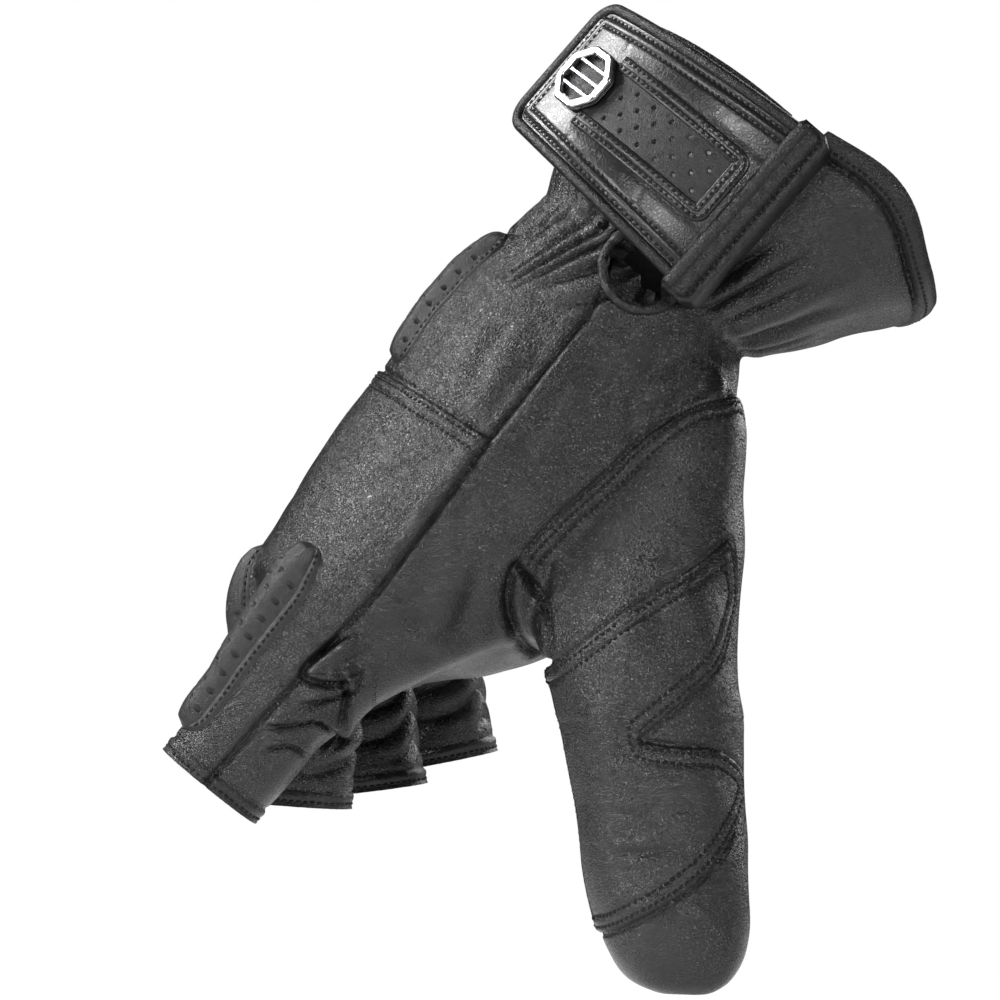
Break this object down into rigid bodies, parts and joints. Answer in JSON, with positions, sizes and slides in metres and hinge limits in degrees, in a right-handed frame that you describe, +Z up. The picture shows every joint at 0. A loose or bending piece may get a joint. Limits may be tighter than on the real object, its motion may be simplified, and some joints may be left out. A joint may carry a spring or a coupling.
{
  "type": "fingerless glove",
  "caption": "Black leather half-finger glove with a full thumb, padded perforated ribs and a flared cuff closed by a strap.",
  "frame": {"origin": "middle of the cuff opening, where the wrist goes in", "axes": "+Z up with the hand hanging down; the fingers point down and towards -X, the thumb side faces -Y, the little-finger side faces +Y"},
  "size_m": [0.1638, 0.1113, 0.2065],
  "materials": {
    "black_leather": "fine pebble grain with a satin sheen",
    "binding_leather": "smooth folded edge, satin",
    "perforated_leather": "fine grain with rows of punched holes",
    "strap_leather": "smooth and glossier than the glove",
    "strap_lining": "plain black lining",
    "lining_fabric": "matt black knit",
    "loop_tape": "brushed loop tape",
    "hook_tape": "moulded hook tape",
    "chrome_badge": "polished",
    "badge_pins": "satin"
  },
  "bodies": {
    "hand": {"hand_back": "black_leather", "knuckle_panel": "black_leather", "palm_panel": "black_leather", "palm_patch": "black_leather", "thumb_gusset": "black_leather", "wrist_elastic": "lining_fabric", "hand_rib_thumb_side": "perforated_leather", "hand_rib_little_side": "perforated_leather", "cuff_back": "black_leather", "cuff_palm": "black_leather", "cuff_binding_back": "binding_leather", "cuff_binding_palm": "binding_leather", "cuff_welt": "binding_leather", "vent_piping": "binding_leather", "loop_patch": "loop_tape", "thumb_base_back": "black_leather", "thumb_base_front": "black_leather"},
    "index_finger": {"index_back": "black_leather", "index_front": "black_leather", "index_sides": "black_leather", "index_hem": "binding_leather", "index_rib": "perforated_leather"},
    "middle_finger": {"middle_back": "black_leather", "middle_front": "black_leather", "middle_sides": "black_leather", "middle_hem": "binding_leather", "middle_rib": "perforated_leather"},
    "ring_finger": {"ring_back": "black_leather", "ring_front": "black_leather", "ring_sides": "black_leather", "ring_hem": "binding_leather", "ring_rib": "perforated_leather"},
    "little_finger": {"little_back": "black_leather", "little_front": "black_leather", "little_sides": "black_leather", "little_hem": "binding_leather", "little_rib": "perforated_leather"},
    "thumb": {"thumb_back": "black_leather", "thumb_front": "black_leather", "thumb_tip": "black_leather", "thumb_overlay": "black_leather"},
    "strap": {"strap_top": "strap_leather", "strap_backing": "strap_lining", "strap_binding": "binding_leather", "strap_inset": "perforated_leather", "hook_patch": "hook_tape", "badge": "chrome_badge", "badge_prongs": "badge_pins"}
  },
  "joints": [
    {"name": "index_bend", "type": "hinge", "parent": "hand", "child": "index_finger", "pos_m": [-0.08743, -0.0339, -0.09427], "axis": [0, -1, 0], "range_deg": [-10, 15], "stiffness_Nm_per_rad": 0.06},
    {"name": "middle_bend", "type": "hinge", "parent": "hand", "child": "middle_finger", "pos_m": [-0.09723, -0.0113, -0.09032], "axis": [0, -1, 0], "range_deg": [-10, 15], "stiffness_Nm_per_rad": 0.06},
    {"name": "ring_bend", "type": "hinge", "parent": "hand", "child": "ring_finger", "pos_m": [-0.09045, 0.0113, -0.08577], "axis": [0, -1, 0], "range_deg": [-10, 15], "stiffness_Nm_per_rad": 0.06},
    {"name": "little_bend", "type": "hinge", "parent": "hand", "child": "little_finger", "pos_m": [-0.07794, 0.0339, -0.08303], "axis": [0, -1, 0], "range_deg": [-10, 15], "stiffness_Nm_per_rad": 0.06},
    {"name": "thumb_bend", "type": "hinge", "parent": "hand", "child": "thumb", "pos_m": [-0.0268, -0.0395, -0.1], "axis": [0, 1, 0], "range_deg": [-12, 12], "stiffness_Nm_per_rad": 0.8},
    {"name": "strap_open", "type": "hinge", "parent": "hand", "child": "strap", "pos_m": [-0.0066, -0.0418, -0.0099], "axis": [0.6561, 0, 0.7547], "range_deg": [0, 110]}
  ]
}
